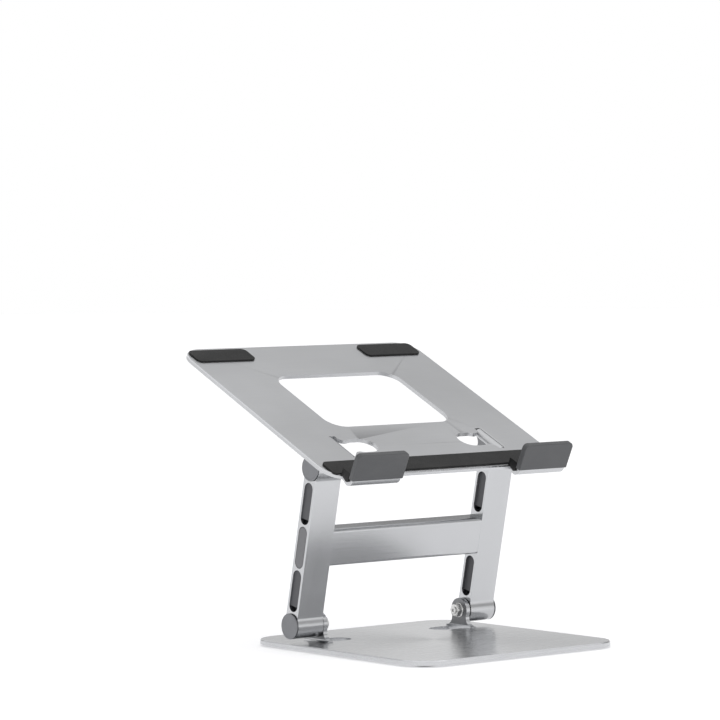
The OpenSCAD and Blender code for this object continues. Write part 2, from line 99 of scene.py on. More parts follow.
class Bench:
    """Edit-mode tools. Each works on one object and leaves it selected in object mode."""

    @staticmethod
    def hold(piece: Object) -> None:
        """Select one piece alone, in object mode."""
        if bpy.context.object and bpy.context.object.mode != "OBJECT":
            bpy.ops.object.mode_set(mode="OBJECT")
        bpy.ops.object.select_all(action="DESELECT")
        piece.select_set(True)
        bpy.context.view_layer.objects.active = piece

    @staticmethod
    def open(piece: Object, mode: str = "EDGE") -> None:
        """Open a piece in edit mode with nothing selected.

        Args:
            piece: The object to edit.
            mode: VERT, EDGE or FACE.
        """
        Bench.hold(piece)
        bpy.ops.object.mode_set(mode="EDIT")
        bpy.ops.mesh.select_mode(type=mode)
        bpy.ops.mesh.select_all(action="DESELECT")

    @staticmethod
    def close() -> None:
        """Go back to object mode."""
        bpy.ops.object.mode_set(mode="OBJECT")

    @staticmethod
    def pick_edges(piece: Object, test: Callable[[Vector, Vector], bool]) -> None:
        """Select the edges whose two ends, in millimetres, pass a test."""
        mesh = bmesh.from_edit_mesh(piece.data)
        for edge in mesh.edges:
            if test(*(v.co / MM for v in edge.verts)):
                edge.select_set(True)
        bmesh.update_edit_mesh(piece.data)

    @staticmethod
    def pick_faces(piece: Object, test: Callable[[Vector, Vector], bool]) -> None:
        """Select the faces whose middle, in millimetres, and normal pass a test."""
        mesh = bmesh.from_edit_mesh(piece.data)
        mesh.normal_update()
        for face in mesh.faces:
            if test(face.calc_center_median() / MM, face.normal):
                face.select_set(True)
        bmesh.update_edit_mesh(piece.data)

    @staticmethod
    def block(name: str, low: tuple, high: tuple) -> Object:
        """Add a box between two corners, in millimetres."""
        low, high = Vector(low) * MM, Vector(high) * MM
        bpy.ops.object.select_all(action="DESELECT")
        bpy.ops.mesh.primitive_cube_add(size=1, location=(low + high) / 2, scale=high - low)
        piece = bpy.context.object
        piece.name = piece.data.name = name
        bpy.ops.object.transform_apply(location=True, rotation=True, scale=True)
        return piece

    @staticmethod
    def turned(name: str, profile: list[tuple[float, float]], sides: int = 72) -> Object:
        """Turn a part on the X axis from the (place, radius) steps of its profile, in millimetres.

        Args:
            name: The piece's name.
            profile: Places along X with the radius at each, in order.
            sides: Facets round the axis.

        Returns:
            A closed solid about the X axis.
        """
        (start, radius), *steps = profile
        bpy.ops.object.select_all(action="DESELECT")
        bpy.ops.mesh.primitive_circle_add(
            vertices=sides, radius=radius * MM, fill_type="NGON", rotation=(0, math.pi / 2, 0)
        )
        piece = bpy.context.object
        piece.name = piece.data.name = name
        piece.location.x = start * MM
        bpy.ops.object.transform_apply(location=True, rotation=True, scale=True)
        Bench.open(piece, "FACE")
        bpy.ops.mesh.select_all(action="SELECT")
        here = start
        for place, new_radius in steps:
            bpy.ops.mesh.extrude_region_move(
                TRANSFORM_OT_translate={"value": ((place - here) * MM, 0, 0)}
            )
            if abs(new_radius - radius) > NEAR:
                grow = new_radius / radius
                bpy.ops.transform.resize(
                    value=(1, grow, grow), center_override=(place * MM, 0, 0)
                )
            here, radius = place, new_radius
        bpy.ops.mesh.select_all(action="SELECT")
        bpy.ops.mesh.normals_make_consistent(inside=False)
        Bench.close()
        return piece

    @staticmethod
    def round_edges(
        piece: Object,
        radius: float,
        steps: int,
        test: Callable[[Vector, Vector], bool],
        slot: int = -1,
    ) -> None:
        """Round or chamfer the edges that pass a test.

        Args:
            piece: The object to work on.
            radius: The rounding's size in millimetres.
            steps: Facets across it; 1 makes a chamfer.
            test: Says of an edge's two ends, in millimetres, whether it is rounded.
            slot: Material slot for the new faces, or -1 to keep what is there.
        """
        Bench.reserve(piece, slot)
        Bench.open(piece)
        Bench.pick_edges(piece, test)
        bpy.ops.mesh.bevel(
            offset=radius * MM, segments=steps, affect="EDGES", material=slot,
            clamp_overlap=True, loop_slide=False,
        )
        bpy.ops.mesh.select_all(action="SELECT")
        bpy.ops.mesh.remove_doubles(threshold=NEAR * MM)
        Bench.close()

    @staticmethod
    def combine(piece: Object, tool: Object, operation: str) -> Object:
        """Cut, join or intersect a piece with a tool object, which is used up.

        Args:
            piece: The object that stays.
            tool: The object that is used up.
            operation: DIFFERENCE, UNION or INTERSECT.

        Returns:
            The piece.
        """
        step = piece.modifiers.new("combine", "BOOLEAN")
        step.object, step.operation, step.solver = tool, operation, "EXACT"
        Bench.hold(piece)
        bpy.ops.object.modifier_apply(modifier=step.name)
        bpy.data.objects.remove(tool)
        return piece

    @staticmethod
    def reserve(piece: Object, slot: int) -> None:
        """See that a piece has this material slot, because a bevel only uses one that is there."""
        while len(piece.data.materials) <= slot:
            piece.data.materials.append(None)

    @staticmethod
    def paint(piece: Object, slot: int, test: Callable[[Vector, Vector], bool]) -> None:
        """Give the faces whose middle and normal pass a test another material slot."""
        Bench.reserve(piece, slot)
        Bench.open(piece, "FACE")
        Bench.pick_faces(piece, test)
        piece.active_material_index = slot
        bpy.ops.object.material_slot_assign()
        Bench.close()

    @staticmethod
    def both_sides(piece: Object) -> Object:
        """Mirror a right-hand shape across X = 0 within one mesh."""
        step = piece.modifiers.new("other side", "MIRROR")
        step.use_mirror_merge = False
        Bench.hold(piece)
        bpy.ops.object.modifier_apply(modifier=step.name)
        return piece

    @staticmethod
    def place(piece: Object, matrix: Matrix) -> Object:
        """Move a piece to its place and leave the place in its mesh.

        Args:
            piece: A piece drawn in its own frame, in metres.
            matrix: That frame's place in the stand. A mirroring one is made good afterwards.

        Returns:
            The piece, with its object at the origin.
        """
        Bench.hold(piece)
        piece.matrix_world = matrix
        bpy.ops.object.transform_apply(location=True, rotation=True, scale=True)
        if matrix.determinant() < 0:
            Bench.open(piece)
            bpy.ops.mesh.select_all(action="SELECT")
            bpy.ops.mesh.normals_make_consistent(inside=False)
            Bench.close()
        return piece

    @staticmethod
    def soften(piece: Object, width: float, steps: int = 2, slot: int = -1) -> Object:
        """Break a piece's sharp edges, and shade its curves smooth and its flats flat.

        Args:
            piece: The object to finish.
            width: Width of the broken edge in millimetres.
            steps: Facets across it.
            slot: Material slot for the broken edges, or -1 to keep what is there.

        Returns:
            The piece.
        """
        Bench.reserve(piece, slot)
        Bench.open(piece)
        bpy.ops.mesh.select_all(action="SELECT")
        bpy.ops.mesh.remove_doubles(threshold=NEAR * MM / 10)
        Bench.close()
        edge = piece.modifiers.new("edges", "BEVEL")
        edge.width, edge.segments, edge.material = width * MM, steps, slot
        edge.limit_method, edge.angle_limit = "ANGLE", math.radians(SHARP)
        edge.use_clamp_overlap, edge.loop_slide = True, False
        bpy.ops.object.modifier_apply(modifier=edge.name)
        bpy.ops.object.shade_smooth_by_angle(angle=math.radians(SMOOTH))
        even = piece.modifiers.new("even", "WEIGHTED_NORMAL")
        even.keep_sharp, even.weight = True, FLAT_WEIGHT
        bpy.ops.object.modifier_apply(modifier=even.name)
        return piece

    @staticmethod
    def twin(piece: Object, name: str) -> Object:
        """Copy a right-hand piece to the left, with a mesh of its own."""
        copy = piece.copy()
        copy.data = piece.data.copy()
        copy.name = copy.data.name = name
        bpy.context.scene.collection.objects.link(copy)
        return Bench.place(copy, Matrix.Scale(-1, 4, (1, 0, 0)))

    @staticmethod
    def pair(right: Object, matrix: Matrix, node: str) -> list[tuple[Side, Object]]:
        """Put a right-hand piece in its place and make its twin on the left.

        Args:
            right: The right-hand piece, in its own frame.
            matrix: That frame's place in the stand.
            node: The two nodes' name, without its side.

        Returns:
            Each piece with its side.
        """
        Bench.place(right, matrix)
        left = Bench.twin(right, f"{node}_{Side.LEFT.word}_body")
        right.name = right.data.name = f"{node}_{Side.RIGHT.word}_body"
        return [(Side.LEFT, left), (Side.RIGHT, right)]


class Outline:
    """A closed outline in the YZ plane, drawn with an edge along X and then capped into a prism."""

    def __init__(self, name: str, x_range: tuple, start: tuple, end: tuple) -> None:
        """Start with one straight stretch.

        Args:
            name: The piece's name.
            x_range: Lowest and highest X of the prism, in millimetres.
            start: (Y, Z) where the outline starts.
            end: (Y, Z) where its first straight stretch ends.
        """
        self.x_range = x_range
        self.at = Vector(end)
        bpy.ops.object.select_all(action="DESELECT")
        bpy.ops.mesh.primitive_plane_add(size=1)
        self.piece = bpy.context.object
        self.piece.name = self.piece.data.name = name
        corners = [(x, *point) for point in (start, end) for x in x_range]
        for vertex, corner in zip(self.piece.data.vertices, corners):
            vertex.co = Vector(corner) * MM
        Bench.open(self.piece)
        far = [Vector((x, *end)) for x in x_range]
        Bench.pick_edges(
            self.piece,
            lambda a, b: min((a - far[0]).length, (b - far[0]).length) < NEAR
            and min((a - far[1]).length, (b - far[1]).length) < NEAR,
        )

    def line(self, y: float, z: float) -> "Outline":
        """Draw straight on to (Y, Z)."""
        step = Vector((y, z)) - self.at
        bpy.ops.mesh.extrude_region_move(
            TRANSFORM_OT_translate={"value": (0, step.x * MM, step.y * MM)}
        )
        self.at = Vector((y, z))
        return self

    def arc(self, centre: tuple, degrees: float) -> "Outline":
        """Draw an arc about a centre.

        Args:
            centre: (Y, Z) of the centre.
            degrees: How far it turns; positive turns +Y towards +Z.

        Returns:
            The outline, for the next stretch.
        """
        middle = Vector(centre)
        bpy.ops.mesh.spin(
            steps=max(2, round(abs(degrees) / ARC_STEP)),
            angle=math.radians(degrees),
            center=(0, middle.x * MM, middle.y * MM),
            axis=(-1, 0, 0),
        )
        self.at = middle + Matrix.Rotation(math.radians(degrees), 2) @ (self.at - middle)
        return self

    def close(self) -> Object:
        """Join the ends, cap both sides and turn the faces outwards."""
        bpy.ops.mesh.select_all(action="SELECT")
        bpy.ops.mesh.remove_doubles(threshold=NEAR * MM)
        for x in self.x_range:
            bpy.ops.mesh.select_all(action="DESELECT")
            Bench.pick_edges(self.piece, lambda a, b: abs(a.x - x) + abs(b.x - x) < NEAR)
            bpy.ops.mesh.edge_face_add()
        bpy.ops.mesh.select_all(action="SELECT")
        bpy.ops.mesh.normals_make_consistent(inside=False)
        Bench.close()
        return self.piece


def upright(a: Vector, b: Vector) -> bool:
    """Say whether an edge runs along Z."""
    return abs(a.x - b.x) + abs(a.y - b.y) < NEAR


def sideways(a: Vector, b: Vector) -> bool:
    """Say whether an edge runs along X."""
    return abs(a.y - b.y) + abs(a.z - b.z) < NEAR


def racetrack(name: str, x_range: tuple, length: float, width: float, z: float) -> Object:
    """Model a bar along X with a racetrack section, which stands along Z.

    Args:
        name: The piece's name.
        x_range: Lowest and highest X in millimetres.
        length: The section's length, along Z.
        width: The section's width, along Y.
        z: Height of the section's middle.

    Returns:
        The solid.
    """
    low = (x_range[0], -width / 2, z - length / 2)
    high = (x_range[1], width / 2, z + length / 2)
    piece = Bench.block(name, low, high)
    Bench.round_edges(piece, width / 2 - NEAR, SLOT_STEPS, sideways)
    return piece


# ---- finishes ----


def linear(hex_colour: str) -> tuple[float, float, float, float]:
    """Turn an sRGB colour such as #c3c4c7 into the linear RGBA that shaders take."""
    parts = [int(hex_colour[i : i + 2], 16) / 255 for i in (1, 3, 5)]
    return (*(c / 12.92 if c <= 0.04045 else ((c + 0.055) / 1.055) ** 2.4 for c in parts), 1.0)


def add(
    tree: Tree, kind: str, values: dict | None = None, links: dict | None = None,
    **settings: object,
) -> Node:
    """Add a shader node.

    Args:
        tree: The material's or world's node tree.
        kind: The node's type, without its ShaderNode prefix.
        values: Numbers and colours for its inputs, by name or place.
        links: Output sockets that feed its inputs, by name or place.
        **settings: The node's own properties.

    Returns:
        The node.
    """
    made = tree.nodes.new("ShaderNode" + kind)
    for name, value in settings.items():
        setattr(made, name, value)
    for name, value in (values or {}).items():
        made.inputs[name].default_value = value
    for name, socket in (links or {}).items():
        tree.links.new(socket, made.inputs[name])
    return made


def new_tree(name: str) -> tuple[Material, Tree, Node]:
    """Start a material and return it with its emptied node tree and its output node."""
    material = bpy.data.materials.new(name)
    material.use_nodes = True
    tree = material.node_tree
    tree.nodes.clear()
    return material, tree, add(tree, "OutputMaterial")


def shade(colour: str, factor: float) -> tuple[float, float, float, float]:
    """A hex colour in linear light, made lighter or darker by a factor."""
    red, green, blue, _ = linear(colour)
    return tuple(min(1.0, c * factor) for c in (red, green, blue)) + (1.0,)


@dataclass(frozen=True)
class BrushedAluminium:
    """Aluminium sheet or extrusion, brushed one way and then satin anodised.

    The brushing gives faint straight lines and a soft streak along them, the oxide layer an even
    pale grey, and handling a few slow patches that are a little duller.
    """

    name: str
    colour: str = "#c9cacc"
    roughness: float = 0.36
    grain: Grain = Grain.ACROSS
    turn: float = 0.0  # degrees by which the piece leans about X
    line_mm: float = 0.6  # real lines are 0.1 mm apart; drawn coarser, so that they show
    streak_mm: float = 45.0  # length of one brush line
    patch_mm: float = 70.0
    contrast: float = 0.025

    def build(self) -> Material:
        """Make the material."""
        material, tree, output = new_tree(self.name)
        places = add(tree, "TexCoord").outputs["Object"]
        level = add(
            tree,
            "Mapping",
            {"Rotation": (-math.radians(self.turn), 0, 0)},
            {"Vector": places},
            vector_type="POINT",
        )
        stretch = [1 / (self.line_mm * MM)] * 3
        stretch[self.grain.value] = 1 / (self.streak_mm * MM)
        along = add(tree, "Mapping", {"Scale": stretch}, {"Vector": level.outputs[0]})
        lines = add(
            tree, "TexNoise", {"Scale": 1.0, "Detail": 3.0, "Roughness": 0.6},
            {"Vector": along.outputs[0]},
        )
        patches = add(
            tree, "TexNoise", {"Scale": 1 / (self.patch_mm * MM), "Detail": 2.0},
            {"Vector": places},
        )
        tone = add(
            tree, "MapRange", {"From Min": 0.3, "From Max": 0.7}, {"Value": lines.outputs[0]}
        )
        colour = add(
            tree, "Mix",
            {6: shade(self.colour, 1 - self.contrast), 7: shade(self.colour, 1 + self.contrast)},
            {0: tone.outputs[0]}, data_type="RGBA",
        )
        dull = add(
            tree, "MapRange",
            {"From Min": 0.35, "From Max": 0.65, "To Min": 0.96, "To Max": 1.02},
            {"Value": patches.outputs[0]},
        )
        colour = add(
            tree, "VectorMath", links={0: colour.outputs[2], 1: dull.outputs[0]},
            operation="MULTIPLY",
        )
        rough = add(
            tree, "MapRange",
            {"From Min": 0.3, "From Max": 0.7, "To Min": self.roughness - 0.02,
             "To Max": self.roughness + 0.03},
            {"Value": lines.outputs[0]},
        )
        bump = add(
            tree, "Bump", {"Strength": 0.1, "Distance": 0.004 * MM},
            {"Height": lines.outputs[0]},
        )
        surface = add(
            tree, "BsdfPrincipled", {"Metallic": 1.0, "Anisotropic": 0.35},
            {"Base Color": colour.outputs[0], "Roughness": rough.outputs[0],
             "Normal": bump.outputs[0]},
        )
        tree.links.new(surface.outputs[0], output.inputs[0])
        return material


@dataclass(frozen=True)
class CutEdge:
    """Aluminium edge cut with a diamond tool and anodised: brighter and glossier than the flat."""

    name: str
    colour: str = "#dcdde0"
    roughness: float = 0.2
    nick_mm: float = 2.5

    def build(self) -> Material:
        """Make the material."""
        material, tree, output = new_tree(self.name)
        places = add(tree, "TexCoord").outputs["Object"]
        nicks = add(
            tree, "TexNoise", {"Scale": 1 / (self.nick_mm * MM), "Detail": 4.0},
            {"Vector": places},
        )
        worn = add(
            tree, "MapRange",
            {"From Min": 0.55, "From Max": 0.75, "To Min": self.roughness,
             "To Max": self.roughness + 0.2},
            {"Value": nicks.outputs[0]},
        )
        colour = add(
            tree, "Mix", {6: linear(self.colour), 7: shade(self.colour, 0.86)},
            {0: nicks.outputs[0]}, data_type="RGBA",
        )
        surface = add(
            tree, "BsdfPrincipled", {"Metallic": 1.0},
            {"Base Color": colour.outputs[2], "Roughness": worn.outputs[0]},
        )
        tree.links.new(surface.outputs[0], output.inputs[0])
        return material


@dataclass(frozen=True)
class TurnedMetal:
    """Metal part turned or ground, with fine rings about its axis along X, and plated or bare."""

    name: str
    colour: str
    roughness: float
    ring_mm: float = 0.5
    stain_mm: float = 3.0
    contrast: float = 0.06

    def build(self) -> Material:
        """Make the material."""
        material, tree, output = new_tree(self.name)
        places = add(tree, "TexCoord").outputs["Object"]
        rings = add(
            tree, "Mapping",
            {"Scale": (1 / (self.ring_mm * MM), 0.08 / (self.ring_mm * MM),
                       0.08 / (self.ring_mm * MM))},
            {"Vector": places},
        )
        marks = add(
            tree, "TexNoise", {"Scale": 1.0, "Detail": 3.0}, {"Vector": rings.outputs[0]}
        )
        stains = add(
            tree, "TexNoise", {"Scale": 1 / (self.stain_mm * MM), "Detail": 3.0},
            {"Vector": places},
        )
        colour = add(
            tree, "Mix",
            {6: shade(self.colour, 1 - self.contrast), 7: shade(self.colour, 1 + self.contrast)},
            {0: stains.outputs[0]}, data_type="RGBA",
        )
        rough = add(
            tree, "MapRange",
            {"To Min": self.roughness - 0.06, "To Max": self.roughness + 0.1},
            {"Value": marks.outputs[0]},
        )
        bump = add(
            tree, "Bump", {"Strength": 0.15, "Distance": 0.03 * MM},
            {"Height": marks.outputs[0]},
        )
        surface = add(
            tree, "BsdfPrincipled", {"Metallic": 1.0},
            {"Base Color": colour.outputs[2], "Roughness": rough.outputs[0],
             "Normal": bump.outputs[0]},
        )
        tree.links.new(surface.outputs[0], output.inputs[0])
        return material


@dataclass(frozen=True)
class Moulded:
    """Moulded silicone, rubber or plastic: the tool's fine grain, a soft sheen and some dust.

    Silicone and rubber are dull with a velvety edge, and moulded plastic has a satin gloss.
    """

    name: str
    colour: str
    roughness: float
    grain_mm: float = 0.45
    depth_mm: float = 0.04
    sheen: float = 0.0
    dust: float = 0.12
    dust_mm: float = 16.0
    ior: float = 1.45

    def build(self) -> Material:
        """Make the material."""
        material, tree, output = new_tree(self.name)
        places = add(tree, "TexCoord").outputs["Object"]
        grain = add(
            tree, "TexNoise", {"Scale": 1 / (self.grain_mm * MM), "Detail": 2.0},
            {"Vector": places},
        )
        drift = add(
            tree, "TexNoise", {"Scale": 1 / (self.dust_mm * MM), "Detail": 5.0, "Roughness": 0.65},
            {"Vector": places},
        )
        dusty = add(
            tree, "MapRange", {"From Min": 0.4, "From Max": 0.75, "To Max": self.dust},
            {"Value": drift.outputs[0]},
        )
        colour = add(
            tree, "Mix", {6: linear(self.colour), 7: shade("#8c8b88", 1.0)},
            {0: dusty.outputs[0]}, data_type="RGBA",
        )
        rough = add(
            tree, "MapRange",
            {"From Min": 0.3, "From Max": 0.7, "To Min": self.roughness - 0.06,
             "To Max": self.roughness + 0.08},
            {"Value": grain.outputs[0]},
        )
        bump = add(
            tree, "Bump", {"Strength": 0.5, "Distance": self.depth_mm * MM},
            {"Height": grain.outputs[0]},
        )
        surface = add(
            tree, "BsdfPrincipled",
            {"IOR": self.ior, "Sheen Weight": self.sheen, "Sheen Roughness": 0.5},
            {"Base Color": colour.outputs[2], "Roughness": rough.outputs[0],
             "Normal": bump.outputs[0]},
        )
        tree.links.new(surface.outputs[0], output.inputs[0])
        return material


@dataclass(frozen=True)
class LightTable:
    """Sheet of white acrylic lit from below: near white all over, with a faint unevenness."""

    name: str = "lit white acrylic"
    colour: str = "#f4f4f5"
    glow: float = 0.4
    cloud_mm: float = 60.0

    def build(self) -> Material:
        """Make the material."""
        material, tree, output = new_tree(self.name)
        places = add(tree, "TexCoord").outputs["Object"]
        cloud = add(
            tree, "TexNoise", {"Scale": 1 / (self.cloud_mm * MM), "Detail": 2.0},
            {"Vector": places},
        )
        colour = add(
            tree, "Mix", {6: linear(self.colour), 7: shade(self.colour, 0.985)},
            {0: cloud.outputs[0]}, data_type="RGBA",
        )
        surface = add(
            tree, "BsdfPrincipled",
            {"Roughness": 0.8, "Emission Color": linear(self.colour),
             "Emission Strength": self.glow},
            {"Base Color": colour.outputs[2]},
        )
        tree.links.new(surface.outputs[0], output.inputs[0])
        return material


class Palette:
    """Every finish on the stand, built once."""

    def __init__(self, places: "Places") -> None:
        """Build the finishes for pieces that lean and tilt as the places say."""
        self.base = BrushedAluminium(
            "satin anodised base sheet", roughness=0.26, grain=Grain.ACROSS
        ).build()
        self.tray = BrushedAluminium(
            "satin anodised tray sheet", grain=Grain.ACROSS, turn=places.tilt
        ).build()
        self.leg = BrushedAluminium(
            "brushed anodised leg", colour="#c4c5c7", roughness=0.24, grain=Grain.UP,
            turn=places.lean,
        ).build()
        self.bar = BrushedAluminium(
            "brushed anodised crossbar", colour="#c4c5c7", roughness=0.24, turn=places.lean
        ).build()
        # Painted shade: a much darker copy of the sheet's aluminium for the lug faces, standing in for the dark
        # reflection they catch. The metal is the same as the sheet's.
        self.lug = BrushedAluminium(
            "lug face darkened as painted shade", colour="#7f8082", roughness=0.32, grain=Grain.UP
        ).build()
        self.edge = CutEdge("diamond-cut aluminium edge").build()
        self.cap = TurnedMetal("grey anodised turned cap", "#86878a", 0.4, contrast=0.04).build()
        self.steel = TurnedMetal("nickel-plated steel", "#d9d9d8", 0.24).build()
        self.ground = TurnedMetal("ground steel", "#a6a5a2", 0.34).build()
        self.spring = TurnedMetal("oiled spring steel", "#7d7a75", 0.3).build()
        self.bronze = TurnedMetal("sintered bronze", "#a8844f", 0.45, stain_mm=1.2).build()
        self.sleeve = Moulded(
            "grey moulded silicone", "#535456", 0.5, sheen=0.08, dust=0.04
        ).build()
        self.pad = Moulded(
            "black silicone sheet", "#0b0b0c", 0.55, grain_mm=0.9, depth_mm=0.08, dust=0.035
        ).build()
        self.foot = Moulded("black moulded rubber", "#141415", 0.7, dust=0.05).build()
        self.plug = Moulded(
            "mid-grey moulded ABS", "#727275", 0.38, grain_mm=0.35, dust=0.04, ior=1.53
        ).build()
        self.insert = Moulded(
            "dark grey moulded ABS", "#4e4e52", 0.45, grain_mm=0.35, dust=0.05, ior=1.53
        ).build()
        self.table = LightTable().build()


# ---- the frame's places ----


@dataclass(frozen=True)
class Places:
    """Where the hinges put the arm and the tray: axes in millimetres, angles in degrees."""

    lower: Vector
    upper: Vector
    lean: float
    tilt: float

    @classmethod
    def from_frame(cls) -> "Places":
        """Read the hinge axes from the joints, and the tilt from the laptop's rest face."""
        axes = {joint["name"]: Vector(joint["pos_m"]) / MM for joint in frame["joints"]}
        lower, upper = axes["arm_fold"], axes["tray_tilt"]
        reach = upper - lower
        faces = {mount["name"]: mount["axis"] for mount in frame["record"]["mounts"]}
        _, back, up = faces["laptop_face"]
        return cls(
            lower,
            upper,
            math.degrees(math.atan2(-reach.y, reach.z)),
            math.degrees(math.atan2(-back, up)),
        )

    @property
    def span(self) -> float:
        """Distance between the two hinge axes."""
        return (self.upper - self.lower).length

    @property
    def at_base(self) -> Matrix:
        """The lower axis, upright."""
        return Matrix.Translation(self.lower * MM)

    @property
    def at_arm(self) -> Matrix:
        """The lower axis, turned with the arm."""
        return self.at_base @ Matrix.Rotation(math.radians(self.lean), 4, "X")

    @property
    def at_tray(self) -> Matrix:
        """The upper axis, turned with the tray."""
        turn = Matrix.Rotation(math.radians(self.tilt), 4, "X")
        return Matrix.Translation(self.upper * MM) @ turn


def commit(piece: Object, body: str, slot: str, node: str, *finishes: Material) -> Object:
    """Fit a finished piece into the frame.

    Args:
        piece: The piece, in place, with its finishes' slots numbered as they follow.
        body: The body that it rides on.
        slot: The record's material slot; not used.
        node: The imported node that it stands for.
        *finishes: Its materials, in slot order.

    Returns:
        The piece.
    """
    Bench.reserve(piece, len(finishes) - 1)
    for place, finish in enumerate(finishes):
        piece.data.materials[place] = finish
    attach(piece, body)
    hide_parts(node)
    low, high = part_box(node)
    corners = [Vector(corner) for corner in piece.bound_box]
    off = max(
        max(abs(min(c[i] for c in corners) - low[i]), abs(max(c[i] for c in corners) - high[i]))
        for i in range(3)
    )
    LOG.info(
        "%s: %d faces, for %s, box within %.2f mm", piece.name, len(piece.data.polygons), node,
        off / MM,
    )
    return piece


def dress(node: str, finish: Material) -> None:
    """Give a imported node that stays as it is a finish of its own."""
    thing = frame["nodes"][node]
    if not thing.material_slots:
        thing.data.materials.append(finish)
    for holder in thing.material_slots:
        holder.material = finish
    LOG.info("%s: kept, in %s", node, finish.name)


# ---- sheet metal ----


@dataclass
class FoldedLug:
    """A lug punched out of a plate and folded square to it, drawn about its hinge hole."""

    drop: float  # from the plate's near face to the hinge axis
    sheet: float  # thickness of the plate
    outer_face: float  # X of the face beside the leg
    head_r: float = 10.0
    shoulder_r: float = 7.0
    foot_w: float = 33.0
    foot_h: float = 1.2
    bend_r: float = 2.0
    root: float = 2.0
    punch_gap: float = 1.0
    punch_run: float = 6.5
    neutral: float = 0.42
    shaft_r: float = 4.0
    flat_depth: float = 0.6

    @property
    def fold_x(self) -> float:
        """X of the line where the fold starts."""
        return self.outer_face + self.bend_r

    def outline(self, name: str, x_range: tuple, low: float, grow: float, run: float) -> Object:
        """Draw the lug's outline, with its round head about the axis and its foot at low.

        Args:
            name: The prism's name.
            x_range: Lowest and highest X of the prism.
            low: Z where the foot ends.
            grow: How much larger than the lug the outline is, all round.
            run: How far the head is drawn on past the axis.

        Returns:
            The prism.
        """
        head, hollow = self.head_r + grow, self.shoulder_r - grow
        foot_z = -self.drop + self.foot_h + grow
        hollow_z = foot_z + hollow
        hollow_y = math.sqrt((head + hollow) ** 2 - hollow_z**2)
        touch = math.degrees(math.atan2(-hollow_z, hollow_y))
        half = self.foot_w / 2 + grow
        draw = Outline(name, x_range, (half, low), (half, foot_z))
        draw.line(hollow_y, foot_z).arc((hollow_y, hollow_z), -(90 + touch))
        if run:
            draw.arc((0, 0), touch).line(head, run).arc((0, run), 180)
            draw.line(-head, 0).arc((0, 0), touch)
        else:
            draw.arc((0, 0), 180 + 2 * touch)
        draw.arc((-hollow_y, hollow_z), -(90 + touch))
        draw.line(-half, foot_z).line(-half, low).line(half, low)
        return draw.close()

    def solid(self, name: str) -> Object:
        """Model the lug: a root in the plate, the fold, and the upright with its shaped head."""
        half, fold_z = self.foot_w / 2, -self.drop + self.bend_r
        low = (self.fold_x, -half, -self.drop - self.sheet)
        lug = Bench.block(name, low, (self.fold_x + self.root, half, -self.drop))
        Bench.open(lug, "FACE")
        Bench.pick_faces(lug, lambda middle, normal: middle.x < self.fold_x + NEAR)
        bpy.ops.mesh.spin(
            steps=BEND_STEPS, angle=math.pi / 2, axis=(0, -1, 0),
            center=(self.fold_x * MM, 0, fold_z * MM),
        )
        rise = self.head_r + self.root - fold_z
        bpy.ops.mesh.extrude_region_move(TRANSFORM_OT_translate={"value": (0, 0, rise * MM)})
        bpy.ops.mesh.select_all(action="SELECT")
        bpy.ops.mesh.normals_make_consistent(inside=False)
        Bench.close()
        inner = self.outer_face - self.sheet
        x_range = (inner - self.root, self.fold_x + 2 * self.root)
        shape = self.outline("lug outline", x_range, -self.drop - self.sheet - 1, 0, 0)
        Bench.combine(lug, shape, "INTERSECT")
        return Bench.combine(lug, self.shaft_hole(inner), "DIFFERENCE")

    def shaft_hole(self, inner: float) -> Object:
        """Model the D-shaped hole's tool: a rod with a flat."""
        ends = [(inner - 1, self.shaft_r), (self.outer_face + 1, self.shaft_r)]
        rod = Bench.turned("shaft hole", ends)
        Bench.open(rod)
        bpy.ops.mesh.select_all(action="SELECT")
        bpy.ops.mesh.bisect(
            plane_co=(0, 0, (self.shaft_r - self.flat_depth) * MM), plane_no=(0, 0, 1),
            use_fill=True, clear_outer=True,
        )
        Bench.close()
        return rod

    def punch(self, name: str, z_range: tuple) -> Object:
        """Model the tool for the hole that the lug leaves in its plate."""
        flat = (self.bend_r + self.neutral * self.sheet) * math.pi / 2 + self.drop - self.bend_r
        tool = self.outline(name, z_range, -flat, self.punch_gap, self.punch_run)
        turn = Matrix.Rotation(-math.pi / 2, 4, "Y")
        return Bench.place(tool, Matrix.Translation(((self.fold_x - flat) * MM, 0, 0)) @ turn)


def chamfered_plate(
    name: str, low: tuple, high: tuple, corner_r: float, chamfer: float
) -> Object:
    """Model a sheet blank with round corners and a bright chamfer round its top edge.

    Args:
        name: The piece's name.
        low: Its lowest corner in millimetres.
        high: Its highest corner.
        corner_r: Radius of the four corners.
        chamfer: Size of the chamfer.

    Returns:
        The blank, with the chamfer in material slot 1.
    """
    plate = Bench.block(name, low, high)
    Bench.round_edges(plate, corner_r, CORNER_STEPS, upright)
    top = high[2]
    Bench.round_edges(
        plate, chamfer, 1, lambda a, b: abs(a.z - top) + abs(b.z - top) < NEAR, slot=1
    )
    return plate


